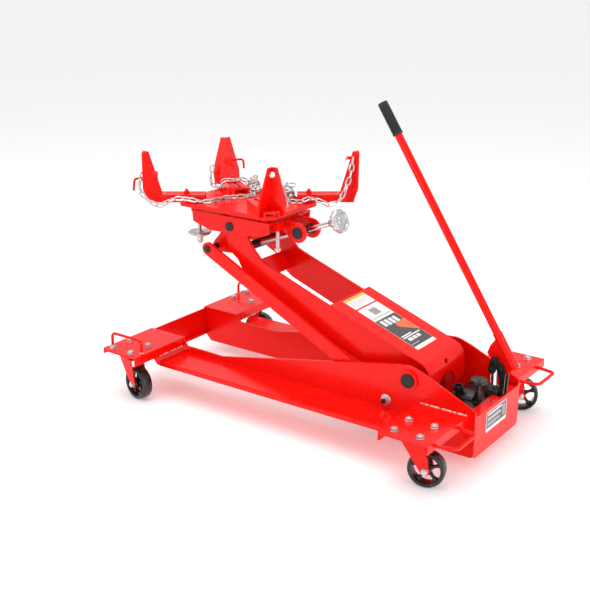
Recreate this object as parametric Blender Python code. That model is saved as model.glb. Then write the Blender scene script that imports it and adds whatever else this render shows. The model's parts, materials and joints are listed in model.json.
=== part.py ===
"""Two-ton low-lift transmission jack, built as separate named solids in metres.

+X points to the rear (handle end), +Y to the far side, +Z up, and the floor is z = 0. The
drawing below has the four caster swivels symmetrical about x = 0; at the very end every part
moves forward by ORIGIN_SHIFT, which puts the origin under the middle of the overall box.
The lift arm is shown part raised.
"""
import math
import bpy
import bmesh
from mathutils import Vector, Matrix

GAP = 0.0003                      # running clearance between neighbouring solids
ORIGIN_SHIFT = 0.035              # from mid wheelbase to the middle of the overall box

# ---- main dimensions -------------------------------------------------------------------
WEB_OUT, WEB_IN = 0.139, 0.133    # side rail web faces
DECK_TOP, DECK_T = 0.155, 0.005   # caster deck plates
FRONT_X, REAR_X = -0.5, 0.5       # caster swivel stations
FRONT_Y, REAR_Y = 0.2985, 0.2904
WHEEL_R, WHEEL_W, TRAIL = 0.0508, 0.035, 0.0373
SHAFT = (0.394, 0.213)            # main lift shaft (x, z)
LINK_LOW = (0.326, 0.138)         # lower pivot of the parallel links
HEAD_PIN = (-0.254, 0.537)        # head pivot at the arm ends
LINK_TOP = (HEAD_PIN[0] + LINK_LOW[0] - SHAFT[0], HEAD_PIN[1] + LINK_LOW[1] - SHAFT[1])
ARM_OUT, ARM_IN = 0.095, 0.087
LINK_OUT, LINK_IN = 0.129, 0.119
CHAN_OUT, CHAN_IN = 0.105, 0.099
TRUNNION = (-0.227, 0.467)        # front nut trunnion of the tilt screw
EAR = (-0.0505, 0.5347)           # rear trunnion of the tilt screw
ROLLER = (SHAFT[0], SHAFT[1] - 0.078)
RAM_Z = 0.132
HANDLE_PIVOT = (0.580, 0.2328)
PUMP_Y = 0.051
LINK_PIN = (0.5642, 0.2537)       # pump link upper pin
PLUNGER_X, PLUNGER_PIN_Z = 0.5575, 0.2249
SADDLE_C = (-0.265, 0.0)
SADDLE_A, SADDLE_B = 0.180, 0.130
SADDLE_TOP = 0.595
SIDE_PIN_Z = 0.5785
SIDE_SCREW = (-0.418, -0.050)
STUD = (-0.100, -0.070)            # stop stud under the rear of the tilt channel


# ---- clean start -----------------------------------------------------------------------
for old in list(bpy.data.objects):
    bpy.data.objects.remove(old, do_unlink=True)


# ---- materials -------------------------------------------------------------------------
def material(name, colour, rough, metal):
    m = bpy.data.materials.new(name)
    m.use_nodes = True
    b = m.node_tree.nodes["Principled BSDF"]
    b.inputs["Base Color"].default_value = (*colour, 1.0)
    b.inputs["Roughness"].default_value = rough
    b.inputs["Metallic"].default_value = metal
    m.diffuse_color = (*colour, 1.0)
    return m


FINISH = {
    "red_paint": ((0.72, 0.015, 0.008), 0.28, 0.0),
    "black_paint": ((0.018, 0.018, 0.020), 0.42, 0.0),
    "black_oxide": ((0.035, 0.035, 0.038), 0.38, 0.8),
    "zinc": ((0.62, 0.62, 0.60), 0.32, 1.0),
    "chrome": ((0.78, 0.79, 0.80), 0.10, 1.0),
    "cast_zinc": ((0.68, 0.68, 0.69), 0.38, 1.0),
    "wheel_iron": ((0.025, 0.026, 0.028), 0.45, 0.0),
    "grip_rubber": ((0.02, 0.02, 0.022), 0.65, 0.0),
}


# ---- mesh helpers ----------------------------------------------------------------------
def finish_mesh(bm, name):
    bmesh.ops.recalc_face_normals(bm, faces=bm.faces)
    me = bpy.data.meshes.new(name)
    bm.to_mesh(me)
    bm.free()
    ob = bpy.data.objects.new(name, me)
    bpy.context.scene.collection.objects.link(ob)
    return ob


def loft(rings, name="loft", closed=False):
    """Skin a list of equal vertex rings; caps both ends unless the rings form a loop."""
    bm = bmesh.new()
    rows = [[bm.verts.new(p) for p in ring] for ring in rings]
    n = len(rows[0])
    pairs = list(zip(rows[:-1], rows[1:]))
    if closed:
        pairs.append((rows[-1], rows[0]))
    for a, b in pairs:
        for i in range(n):
            bm.faces.new((a[i], a[(i + 1) % n], b[(i + 1) % n], b[i]))
    if not closed:
        bm.faces.new(rows[0][::-1])
        bm.faces.new(rows[-1])
    return finish_mesh(bm, name)


def box(x0, x1, y0, y1, z0, z1):
    ring = [(x0, y0), (x1, y0), (x1, y1), (x0, y1)]
    return loft([[(x, y, z) for x, y in ring] for z in (z0, z1)])


def prism_y(points, y0, y1):
    """Extrude an (x, z) outline along Y."""
    return loft([[(x, y, z) for x, z in points] for y in (y0, y1)])


def prism_x(points, x0, x1):
    """Extrude a (y, z) outline along X."""
    return loft([[(x, y, z) for y, z in points] for x in (x0, x1)])


def prism_z(points, z0, z1):
    return loft([[(x, y, z) for x, y in points] for z in (z0, z1)])


def frame_of(axis):
    axis = Vector(axis).normalized()
    side = Vector((0, 0, 1)) if abs(axis.z) < 0.9 else Vector((1, 0, 0))
    u = side.cross(axis).normalized()
    return u, axis.cross(u), axis


def facets(r):
    """Facet count for a round of radius r."""
    for limit, n in ((0.007, 12), (0.013, 16), (0.022, 20)):
        if r < limit:
            return n
    return 24


def lathe(start, axis, profile, n=None):
    """Revolve (distance along axis, radius) pairs about an axis through start."""
    n = n or facets(max(r for _, r in profile))
    u, v, w = frame_of(axis)
    start = Vector(start)
    rings = []
    for d, r in profile:
        c = start + w * d
        rings.append([c + (u * math.cos(a) + v * math.sin(a)) * r
                      for a in (2 * math.pi * i / n for i in range(n))])
    return loft(rings)


def cyl(p0, p1, r, n=None):
    p0, p1 = Vector(p0), Vector(p1)
    return lathe(p0, p1 - p0, [(0, r), ((p1 - p0).length, r)], n)


def pin_y(xz, y0, y1, r, n=None):
    return cyl((xz[0], y0, xz[1]), (xz[0], y1, xz[1]), r, n)


def hexa(p0, p1, across, turn=0.0):
    p0, p1 = Vector(p0), Vector(p1)
    u, v, w = frame_of(p1 - p0)
    r = across / math.sqrt(3)
    rings = [[c + (u * math.cos(a) + v * math.sin(a)) * r
              for a in (turn + math.pi * i / 3 for i in range(6))] for c in (p0, p1)]
    return loft(rings)


def rounded_path(points, radius, steps=5):
    pts = [Vector(p) for p in points]
    out = [pts[0]]
    for a, b, c in zip(pts[:-2], pts[1:-1], pts[2:]):
        d0, d1 = (a - b).normalized(), (c - b).normalized()
        angle = d0.angle(d1)
        cut = min(radius / math.tan(angle / 2), 0.45 * (a - b).length, 0.45 * (c - b).length)
        p, q = b + d0 * cut, b + d1 * cut
        for i in range(steps + 1):
            t = i / steps
            out.append((1 - t) ** 2 * p + 2 * t * (1 - t) * b + t * t * q)
    out.append(pts[-1])
    return out


def rod(points, r, bend=0.012, n=8, steps=3):
    """Round bar along a path with filleted corners."""
    pts = rounded_path(points, bend, steps)
    rings = []
    u = None
    for i, p in enumerate(pts):
        t = (pts[min(i + 1, len(pts) - 1)] - pts[max(i - 1, 0)]).normalized()
        u = frame_of(t)[0] if u is None else (u - t * u.dot(t)).normalized()
        v = t.cross(u)
        rings.append([p + (u * math.cos(a) + v * math.sin(a)) * r
                      for a in (2 * math.pi * k / n for k in range(n))])
    return loft(rings)


def disc_outline(circles, steps=6):
    """Convex outline (x, z) around several circles (x, z, r)."""
    pts = []
    for cx, cz, r in circles:
        for i in range(4 * steps):
            a = 2 * math.pi * i / (4 * steps)
            pts.append((cx + r * math.cos(a), cz + r * math.sin(a)))
    pts = sorted(set(pts))

    def half(seq):
        out = []
        for p in seq:
            while len(out) > 1 and ((out[-1][0] - out[-2][0]) * (p[1] - out[-2][1])
                                    - (out[-1][1] - out[-2][1]) * (p[0] - out[-2][0])) <= 1e-12:
                out.pop()
            out.append(p)
        return out[:-1]
    return half(pts) + half(pts[::-1])


def arc(cx, cz, r, a0, a1, steps):
    return [(cx + r * math.cos(math.radians(a0 + (a1 - a0) * i / steps)),
             cz + r * math.sin(math.radians(a0 + (a1 - a0) * i / steps)))
            for i in range(steps + 1)]


def combine(base, others, kind):
    for other in others:
        mod = base.modifiers.new("op", "BOOLEAN")
        mod.operation, mod.solver, mod.object = kind, "EXACT", other
        bpy.context.view_layer.update()
        deps = bpy.context.evaluated_depsgraph_get()
        me = bpy.data.meshes.new_from_object(base.evaluated_get(deps))
        base.modifiers.clear()
        base.data = me
        bpy.data.objects.remove(other, do_unlink=True)
    return base


def fuse(base, *others):
    return combine(base, others, "UNION")


def cut(base, *others):
    return combine(base, others, "DIFFERENCE")


def mirrored(ob):
    """A copy mirrored to the far side of the y = 0 plane."""
    me = ob.data.copy()
    me.transform(Matrix.Scale(-1, 4, (0, 1, 0)))
    me.flip_normals()
    new = bpy.data.objects.new("copy", me)
    bpy.context.scene.collection.objects.link(new)
    return new


MATERIALS = {key: material(key, *val) for key, val in FINISH.items()}


def node(name, finish, ob, origin=None):
    """Name a solid, paint it and put its origin on the joint axis it turns about."""
    ob.name = ob.data.name = name
    ob.data.materials.clear()
    ob.data.materials.append(MATERIALS[finish])
    ob.data.shade_smooth()
    ob.data.set_sharp_from_angle(angle=math.radians(35))
    if origin is not None:
        ob.data.transform(Matrix.Translation(-Vector(origin)))
        ob.location = origin
    return ob


def at(xz, y=0.0):
    return (xz[0], y, xz[1])


# ---- base frame ------------------------------------------------------------------------
WEB_OUTLINE = [(-0.541, 0.035), (0.5915, 0.035), (0.5915, 0.173), (0.487, 0.221),
               (0.443, 0.240), (0.410, 0.2515), (0.392, 0.2545), (0.365, 0.2525),
               (-0.266, 0.1275), (-0.409, 0.130), (-0.4235, 0.1497), (-0.567, 0.1497),
               (-0.567, 0.062)]


def side_rail():
    web = prism_y(WEB_OUTLINE, -WEB_OUT, -WEB_IN)
    flange = prism_x([(-0.2535, 0.098), (-0.2485, 0.098), (-0.2485, 0.107), (-0.136, 0.107),
                      (-0.136, 0.112), (-0.2505, 0.112), (-0.2535, 0.109)], -0.4235, 0.4272)
    boss = pin_y(SHAFT, -0.1455, -WEB_IN - 0.001, 0.0285)
    bolt = pin_y(LINK_LOW, -0.1575, -0.118, 0.0085)
    washer = pin_y(LINK_LOW, -0.1420, -0.1385, 0.0150)
    nut = hexa((LINK_LOW[0], -0.1530, LINK_LOW[1]), (LINK_LOW[0], -0.1415, LINK_LOW[1]), 0.021)
    rail = fuse(web, flange, boss, washer, nut, bolt)
    return cut(rail, pin_y(SHAFT, -0.16, -0.12, 0.0195 + GAP))


rail = side_rail()
node("rail_far", "red_paint", mirrored(rail))
node("rail_near", "red_paint", rail)

cross = prism_y([(-0.567, 0.064), (-0.567, 0.1495), (-0.561, 0.1495), (-0.561, 0.070),
                 (-0.546, 0.070), (-0.546, 0.064)], -WEB_IN + GAP, WEB_IN - GAP)
node("front_crossmember", "red_paint", cross)

panel = prism_x([(-0.1385, 0.042), (-0.129, 0.0325), (0.129, 0.0325), (0.1385, 0.042),
                 (0.1385, 0.170), (0.1340, 0.170), (0.1310, 0.1545), (-0.1310, 0.1545),
                 (-0.1340, 0.170), (-0.1385, 0.170)], 0.592, 0.598)
panel = fuse(panel, box(0.566, 0.5925, -0.118, 0.118, 0.1490, 0.1545))
panel = cut(panel, box(0.560, 0.5912, PUMP_Y - 0.0255, PUMP_Y + 0.0255, 0.140, 0.160))
node("rear_panel", "red_paint", panel)

node("pump_tray", "red_paint",
     box(0.300, 0.5915, -WEB_IN + GAP, WEB_IN - GAP, 0.0365, 0.0415))


def deck_front(sign):
    """Front caster deck with a deep rear skirt, a front lip and a tie-down loop."""
    x0, x1, yi, yo = -0.567, -0.4238, 0.1305, 0.3575
    top = prism_z([(x0, sign * yi), (x1, sign * yi), (x1, sign * yo), (x0 + 0.010, sign * yo),
                   (x0, sign * (yo - 0.010))], DECK_TOP - DECK_T, DECK_TOP)
    ya, yb = sorted((sign * 0.1395, sign * yo))
    skirt = box(x1 - 0.005, x1, ya, yb, 0.128, DECK_TOP - 0.001)
    ya, yb = sorted((sign * 0.1395, sign * (yo - 0.010)))
    lip = box(x0, x0 + 0.005, ya, yb, 0.138, DECK_TOP - 0.001)
    y = sign * 0.3135
    loop = rod([(-0.561, y, 0.152), (-0.561, y, 0.195), (-0.438, y, 0.195), (-0.438, y, 0.152)],
               0.0045, 0.014)
    plate = fuse(top, skirt, lip, loop)
    return cut(plate, *bolt_holes(FRONT_X, sign * FRONT_Y))


def deck_rear(sign):
    """Rear caster deck with skirts all round and a bent-rod pull handle."""
    x0, x1, yi, yo = 0.4275, 0.578, 0.1393, 0.3610
    top = prism_z([(x0, sign * yi), (x1, sign * yi), (x1, sign * yo), (x0 + 0.008, sign * yo),
                   (x0, sign * (yo - 0.008))], DECK_TOP - DECK_T, DECK_TOP)
    ya, yb = sorted((sign * yi, sign * yo))
    skirt = box(x1 - 0.005, x1, ya, yb, 0.131, DECK_TOP - 0.001)
    ya, yb = sorted((sign * 0.2540, sign * (yo - 0.008)))
    lip = box(x0, x0 + 0.005, ya, yb, 0.128, DECK_TOP - 0.001)
    z = 0.1405
    grab = rod([(0.575, sign * 0.190, z), (0.632, sign * 0.200, z), (0.632, sign * 0.308, z),
                (0.575, sign * 0.318, z)], 0.005, 0.016)
    plate = fuse(top, skirt, lip, grab)
    return cut(plate, *bolt_holes(REAR_X, sign * REAR_Y))


def bolt_spots(x, y):
    return [(x + sx * 0.038, y + sy * 0.0378) for sx in (-1, 1) for sy in (-1, 1)]


def bolt_holes(x, y):
    return [cyl((bx, by, 0.13), (bx, by, 0.17), 0.0064) for bx, by in bolt_spots(x, y)]


SIDES = (("near", -1), ("far", 1))
for side, s in SIDES:
    node("deck_front_" + side, "red_paint", deck_front(s))
    node("deck_rear_" + side, "red_paint", deck_rear(s))


# ---- casters ---------------------------------------------------------------------------
def turned(ob, centre, degrees):
    c = Vector(centre)
    ob.data.transform(Matrix.Translation(c) @ Matrix.Rotation(math.radians(degrees), 4, "Z")
                      @ Matrix.Translation(-c))
    return ob


def caster_plate(x, y):
    """Top plate, four bolts through the deck, and the fixed half of the swivel race."""
    top = DECK_TOP - DECK_T - GAP
    plate = box(x - 0.0525, x + 0.0525, y - 0.0475, y + 0.0475, top - 0.005, top)
    parts = [lathe((x, y, top - 0.001), (0, 0, -1),
                   [(0, 0.024), (0.0110, 0.024), (0.0110, 0.006), (0.0190, 0.006)])]
    for bx, by in bolt_spots(x, y):
        parts.append(lathe((bx, by, top - 0.008), (0, 0, 1),
                           [(0, 0.0060), (DECK_TOP + GAP - top + 0.0095, 0.0060)]))
        parts.append(hexa((bx, by, DECK_TOP + GAP), (bx, by, DECK_TOP + 0.0082), 0.0185, 0.3))
    return fuse(plate, *parts)


def caster_fork(x, y):
    """Pressed fork with tapered legs, swivel race cup and the wheel bolt across it."""
    zt = 0.1360
    ax = x + TRAIL
    crown = lathe((x, y, zt), (0, 0, -1),
                  [(0, 0.0295), (0.0015, 0.0310), (0.0060, 0.0310), (0.0105, 0.0270)])
    bridge = box(x - 0.026, x + 0.034, y - 0.0235, y + 0.0235, zt - 0.0125, zt - 0.0085)
    parts = [crown]
    leg = disc_outline([(ax, WHEEL_R, 0.0125), (x - 0.024, zt - 0.0105, 0.002),
                        (x + 0.032, zt - 0.0105, 0.002)], 3)
    for s in (-1, 1):
        ya, yb = sorted((y + s * 0.0205, y + s * 0.0235))
        parts.append(prism_y(leg, ya, yb))
    wz = WHEEL_R
    parts.append(cyl((ax, y - 0.0300, wz), (ax, y + 0.0300, wz), 0.0055))
    parts.append(hexa((ax, y - 0.0300, wz), (ax, y - 0.0233, wz), 0.0160, 0.2))
    parts.append(hexa((ax, y + 0.0233, wz), (ax, y + 0.0310, wz), 0.0160, 0.5))
    fork = fuse(bridge, *parts)
    return cut(fork, cyl((x, y, 0.11), (x, y, 0.15), 0.0075))


def caster_wheel(x, y):
    """Cast wheel with tread, rim, five spokes and a hub bored for its bolt."""
    ax, wz, h = x + TRAIL, WHEEL_R, WHEEL_W / 2
    tyre = lathe((ax, y - h, wz), (0, 1, 0),
                 [(0, 0.0455), (0.0045, 0.0502), (0.0110, WHEEL_R), (0.0240, WHEEL_R),
                  (0.0305, 0.0502), (0.0350, 0.0455)])
    tyre = cut(tyre, cyl((ax, y - 0.03, wz), (ax, y + 0.03, wz), 0.0360))
    parts = [cyl((ax, y - h - 0.0015, wz), (ax, y + h + 0.0015, wz), 0.0130)]
    for k in range(5):
        a = 2 * math.pi * (k + 0.3) / 5
        c, s = math.cos(a), math.sin(a)
        pts = [(ax + r * c - t * s, wz + r * s + t * c)
               for r, t in ((0.010, 0.0058), (0.0385, 0.0042), (0.0385, -0.0042), (0.010, -0.0058))]
        parts.append(prism_y(pts, y - 0.0055, y + 0.0055))
    wheel = fuse(tyre, *parts)
    return cut(wheel, cyl((ax, y - 0.03, wz), (ax, y + 0.03, wz), 0.0055 + GAP))


CASTERS = (("front_near", FRONT_X, -FRONT_Y, -12.0), ("front_far", FRONT_X, FRONT_Y, 20.0),
           ("rear_near", REAR_X, -REAR_Y, 13.6), ("rear_far", REAR_X, REAR_Y, 23.4))
for corner, cx, cy, yaw in CASTERS:
    node("caster_plate_" + corner, "zinc", caster_plate(cx, cy))
    node("caster_fork_" + corner, "red_paint", turned(caster_fork(cx, cy), (cx, cy, 0), yaw),
         (cx, cy, 0.130))
    a = math.radians(yaw)
    hub = (cx + TRAIL * math.cos(a), cy + TRAIL * math.sin(a), WHEEL_R)
    node("caster_wheel_" + corner, "wheel_iron", turned(caster_wheel(cx, cy), (cx, cy, 0), yaw),
         hub)


# ---- lift arm --------------------------------------------------------------------------
shaft = pin_y(SHAFT, -0.1500, 0.1500, 0.0195)
node("main_shaft", "black_oxide", shaft, at(SHAFT))

hx, hz = HEAD_PIN
sx, sz = SHAFT
ARM_OUTLINE = ([(-0.198, 0.5170), (-0.176, 0.4830), (-0.140, 0.4450), (-0.110, 0.4330),
                (0.105, 0.3540), (sx + 0.036 * math.sin(math.radians(20)),
                                  sz + 0.0375 * math.cos(math.radians(20)))]
               + arc(sx, sz, 0.0385, 55, -95, 14)
               + [(0.330, 0.168), (0.120, 0.2430), (-0.004, 0.2900), (-0.159, 0.3480),
                  (-0.189, 0.3680), (-0.232, 0.4380), (-0.266, 0.4620), (-0.2760, 0.5300)]
               + arc(hx, hz, 0.0215, 190, 10, 10))


def lift_arm(s):
    """One arm plate, cheek to the rear hub, thickened round the shaft and the head pin."""
    ya, yb = sorted((s * ARM_IN, s * ARM_OUT))
    arm = prism_y(ARM_OUTLINE, ya, yb)
    ya, yb = sorted((s * 0.078, s * 0.0965))
    arm = fuse(arm, pin_y(SHAFT, ya, yb, 0.0335))
    return cut(arm, pin_y(SHAFT, -0.12, 0.12, 0.0195 + GAP),
               pin_y(HEAD_PIN, -0.12, 0.12, 0.0125 + GAP))


for side, s in SIDES:
    node("lift_arm_" + side, "red_paint", lift_arm(s), at(SHAFT))


def arm_cover():
    """Curved cover over the rear of both arms; its tail hangs behind the shaft."""
    slope = math.radians(20)
    ro, ri = 0.0450, 0.0405
    lx, lz = 0.112 - sx, 0.0
    up = lambda r: (sx + r * math.sin(slope), sz + r * math.cos(slope))
    along = (0.112 - sx - 0.0154) / math.cos(slope)
    front = lambda r: (up(r)[0] + along * math.cos(slope), up(r)[1] - along * math.sin(slope))
    outer = [front(ro)] + arc(sx, sz, ro, 70, 0, 10) + [(sx + ro, 0.153)]
    inner = [(sx + ri, 0.153)] + arc(sx, sz, ri, 0, 70, 10) + [front(ri)]
    cover = prism_y(outer + inner, -0.105, 0.105)
    arch = [(0.052 * math.cos(a), 0.148 + 0.055 * math.sin(a))
            for a in (math.pi * i / 16 for i in range(17))]
    arch = prism_x([(0.052, 0.140)] + arch + [(-0.052, 0.140)], sx + 0.02, sx + 0.08)
    hole_dir = Vector((math.cos(math.radians(27)), 0, math.sin(math.radians(27))))
    c = Vector((sx, 0, sz))
    cut(cover, arch, cyl(c + hole_dir * 0.03, c + hole_dir * 0.06, 0.0075))
    corners = [prism_x([(s * 0.110, 0.145), (s * 0.110, 0.172), (s * 0.104, 0.160),
                        (s * 0.090, 0.1500), (s * 0.088, 0.145)], sx + 0.03, sx + 0.06)
               for s in (-1, 1)]
    return cut(cover, *corners)


node("arm_cover", "red_paint", arm_cover(), at(SHAFT))


def cross_plate():
    p, q = Vector((-0.201, 0, 0.425)), Vector((-0.161, 0, 0.379))
    d = (q - p).normalized()
    n = Vector((d.z, 0, -d.x)) * 0.003
    pts = [p + n, q + n, q - n, p - n]
    return prism_y([(v.x, v.z) for v in pts], -ARM_IN + GAP, ARM_IN - GAP)


node("arm_cross_plate", "red_paint", cross_plate(), at(SHAFT))


def ram_lever():
    """Hub on the shaft with two cheeks that carry the ram roller."""
    hub = pin_y(SHAFT, -0.0775, 0.0775, 0.0290)
    cheek = disc_outline([(sx, sz, 0.0290), (ROLLER[0], ROLLER[1], 0.0130)])
    parts = [prism_y(cheek, s * 0.033 - 0.003, s * 0.033 + 0.003) for s in (-1, 1)]
    lever = fuse(hub, *parts)
    lever = fuse(lever, pin_y(ROLLER, -0.0380, 0.0380, 0.0060))
    return cut(lever, pin_y(SHAFT, -0.09, 0.09, 0.0195 + GAP))


node("ram_lever", "red_paint", ram_lever(), at(SHAFT))
roller = cut(pin_y(ROLLER, -0.0290, 0.0290, 0.0160), pin_y(ROLLER, -0.04, 0.04, 0.0063))
node("ram_roller", "zinc", roller, at(ROLLER))


def parallel_link(s):
    ya, yb = sorted((s * LINK_IN, s * LINK_OUT))
    bar = prism_y(disc_outline([(*LINK_LOW, 0.020), (*LINK_TOP, 0.020)]), ya, yb)
    return cut(bar, pin_y(LINK_LOW, -0.14, 0.14, 0.0085 + GAP),
               pin_y(LINK_TOP, -0.14, 0.14, 0.0095 + 0.0010))


for side, s in SIDES:
    node("parallel_link_" + side, "red_paint", parallel_link(s), at(LINK_LOW))


# ---- head ------------------------------------------------------------------------------
def head_bracket():
    """Two cheeks kept level by the links, tied by a front web; journals the nut trunnion."""
    cheek = disc_outline([(hx, hz, 0.0215), (*LINK_TOP, 0.0170), (*TRUNNION, 0.0170)])
    web = prism_y([(-0.2960, 0.5180), (-0.3330, 0.4790), (-0.3290, 0.4740), (-0.2900, 0.5130)],
                  -0.080, 0.080)
    cheeks = [prism_y(cheek, s * 0.080 - 0.003, s * 0.080 + 0.003) for s in (-1, 1)]
    bracket = fuse(web, *cheeks)
    return cut(bracket, pin_y(HEAD_PIN, -0.10, 0.10, 0.0125 + GAP),
               pin_y(LINK_TOP, -0.10, 0.10, 0.0095 + GAP),
               pin_y(TRUNNION, -0.10, 0.10, 0.0080 + GAP))


node("head_bracket", "red_paint", head_bracket(), at(HEAD_PIN))
node("head_pin", "black_oxide", pin_y(HEAD_PIN, -0.1080, 0.1080, 0.0125), at(HEAD_PIN))

tie = pin_y(LINK_TOP, -0.1310, 0.1310, 0.0095)
tie = fuse(tie, *[pin_y(LINK_TOP, s * 0.1308 - 0.0014, s * 0.1308 + 0.0014, 0.0108)
                  for s in (-1, 1)])
node("link_tie_pin", "black_oxide", tie, at(LINK_TOP))

CHAN_SIDE = [(-0.400, 0.5680), (-0.3965, 0.5340), (-0.3300, 0.5150), (-0.1950, 0.5175),
             (-0.1310, 0.5250), (-0.1085, 0.5340), (-0.1040, 0.5680)]


def tilt_channel():
    """Inverted channel over the arm ends with ears, pivot lugs on top and a stop stud."""
    top = box(-0.400, -0.104, -CHAN_OUT, CHAN_OUT, 0.5630, 0.5680)
    parts = [prism_y(CHAN_SIDE, min(s * CHAN_IN, s * CHAN_OUT), max(s * CHAN_IN, s * CHAN_OUT))
             for s in (-1, 1)]
    ear = disc_outline([(*EAR, 0.0300), (-0.125, 0.5580, 0.0095)])
    parts += [prism_y(ear, s * 0.036 - 0.004, s * 0.036 + 0.004) for s in (-1, 1)]
    parts.append(box(-0.436, -0.395, SIDE_SCREW[1] - 0.018, SIDE_SCREW[1] + 0.018, 0.5520, 0.5680))
    parts.append(box(-0.112, -0.088, -0.082, -0.058, 0.5420, 0.5680))
    for x in (-0.349, -0.189):
        lug = prism_x([(-0.011, 0.5660)] + [(0.0085 * math.cos(t), SIDE_PIN_Z + 0.0085 * math.sin(t))
                      for t in (math.pi - math.pi * i / 10 for i in range(11))]
                      + [(0.011, 0.5660)], x, x + 0.008)
        parts.append(lug)
    stud = lathe((*STUD, 0.4770), (0, 0, 1), [(0, 0.0045), (0.001, 0.0055), (0.0800, 0.0055)])
    parts += [stud, hexa((*STUD, 0.4800), (*STUD, 0.4890), 0.0160)]
    chan = fuse(top, *parts)
    return cut(chan, pin_y(HEAD_PIN, -0.12, 0.12, 0.0125 + GAP),
               pin_y(EAR, -0.06, 0.06, 0.0150 + GAP),
               cyl((-0.37, 0, SIDE_PIN_Z), (-0.15, 0, SIDE_PIN_Z), 0.0045 + GAP),
               cyl((*SIDE_SCREW, 0.53), (*SIDE_SCREW, 0.58), 0.0060 + GAP))


node("tilt_channel", "red_paint", tilt_channel(), at(HEAD_PIN))

SCREW_DIR = (Vector(at(EAR)) - Vector(at(TRUNNION))).normalized()


def cross_hole(centre, r):
    c = Vector(at(centre))
    return cyl(c - SCREW_DIR * 0.04, c + SCREW_DIR * 0.04, r)


nut_barrel = pin_y(TRUNNION, -0.0745, 0.0745, 0.0140)
nut_barrel = fuse(nut_barrel, pin_y(TRUNNION, -0.0830, 0.0830, 0.0080))
node("tilt_nut_trunnion", "black_oxide", cut(nut_barrel, cross_hole(TRUNNION, 0.0080 + GAP)),
     at(TRUNNION))
ear_barrel = pin_y(EAR, -0.0405, 0.0405, 0.0150)
node("tilt_ear_barrel", "black_oxide", cut(ear_barrel, cross_hole(EAR, 0.0105)), at(EAR))

screw_start = Vector(at(TRUNNION)) - SCREW_DIR * 0.030
screw = lathe(screw_start, SCREW_DIR,
              [(0, 0.0065), (0.0015, 0.0080), (0.2900, 0.0080), (0.2900, 0.0060),
               (0.3640, 0.0060), (0.3650, 0.0050)])
node("tilt_screw", "chrome", screw, at(TRUNNION))


def hand_knob(start, axis, radius, thick, lobes, bore):
    """Fluted cast knob with a domed face and a boss, bored for its screw."""
    u, v, w = frame_of(axis)
    start = Vector(start)
    n = lobes * 4
    rings = []
    for d, k in ((0.0, 0.90), (0.12, 1.0), (0.85, 1.0), (1.0, 0.92)):
        ring = []
        for i in range(n):
            a = 2 * math.pi * i / n
            r = radius * k * (1.0 + 0.045 * math.cos(lobes * a))
            ring.append(start + w * thick * d + (u * math.cos(a) + v * math.sin(a)) * r)
        rings.append(ring)
    disc = loft(rings)
    disc = fuse(disc, lathe(start, w, [(-0.0250, 0.0100), (-0.0240, 0.0110), (0.001, 0.0135)]))
    return cut(disc, cyl(start - w * 0.03, start + w * (thick + 0.01), bore))


knob_start = Vector(at(TRUNNION)) + SCREW_DIR * 0.3080
node("tilt_knob", "cast_zinc",
     hand_knob(knob_start, SCREW_DIR, 0.0350, 0.0210, 10, 0.0060 + GAP), knob_start)

side_screw = lathe((*SIDE_SCREW, 0.4480), (0, 0, 1),
                   [(0, 0.0050), (0.0010, 0.0058), (0.1405, 0.0058), (0.1413, 0.0050)])
node("side_tilt_screw", "zinc", side_screw, (*SIDE_SCREW, 0.56))
node("side_tilt_knob", "cast_zinc",
     hand_knob((*SIDE_SCREW, 0.4770), (0, 0, 1), 0.0365, 0.0110, 8, 0.0058 + GAP),
     (*SIDE_SCREW, 0.4880))


# ---- saddle ----------------------------------------------------------------------------
cx0, cy0 = SADDLE_C
DIAG = {}
for tag, ux, uy in (("left", -1, -1), ("front", 1, -1), ("right", 1, 1), ("back", -1, 1)):
    corner = Vector((cx0 + ux * SADDLE_A, cy0 + uy * SADDLE_B, 0))
    DIAG[tag] = (corner, (corner - Vector((cx0, cy0, 0))).normalized())
CLAMP_IN = 0.036                  # clamp stud distance inboard of each corner
SLIDE_REST = {"left": 0.037, "front": -0.020, "right": 0.058, "back": -0.020}
SLIDE_TOP = SADDLE_TOP + 0.0240   # top of the inverted slide channels


def saddle_plate():
    """Folded tray with an 8 mm lip, two pivot lugs and four clamp studs."""
    a, b, t = SADDLE_A, SADDLE_B, 0.005

    def outline(inset):
        k = 0.022
        x, y = a - inset, b - inset
        return [(cx0 + px, cy0 + py) for px, py in
                ((-x + k, -y), (x - k, -y), (x, -y + k), (x, y - k), (x - k, y), (-x + k, y),
                 (-x, y - k), (-x, -y + k))]
    plate = prism_z(outline(0.0), SADDLE_TOP - 0.0130, SADDLE_TOP)
    plate = cut(plate, prism_z(outline(0.004), SADDLE_TOP - 0.020, SADDLE_TOP - t))
    parts = []
    for x in (-0.3595, -0.1785):
        parts.append(prism_x([(-0.0125, SADDLE_TOP - 0.004), (-0.0085, SIDE_PIN_Z - 0.0075),
                              (0.0085, SIDE_PIN_Z - 0.0075), (0.0125, SADDLE_TOP - 0.004)],
                             x, x + 0.008))
    for corner, d in DIAG.values():
        p = corner - d * CLAMP_IN
        parts.append(cyl((p.x, p.y, SADDLE_TOP - 0.003), (p.x, p.y, SLIDE_TOP + 0.0130), 0.0045))
        parts.append(hexa((p.x, p.y, SLIDE_TOP + 0.0005), (p.x, p.y, SLIDE_TOP + 0.0070), 0.0150))
    plate = fuse(plate, *parts)
    return cut(plate, cyl((-0.37, 0, SIDE_PIN_Z), (-0.15, 0, SIDE_PIN_Z), 0.0045 + GAP))


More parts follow.
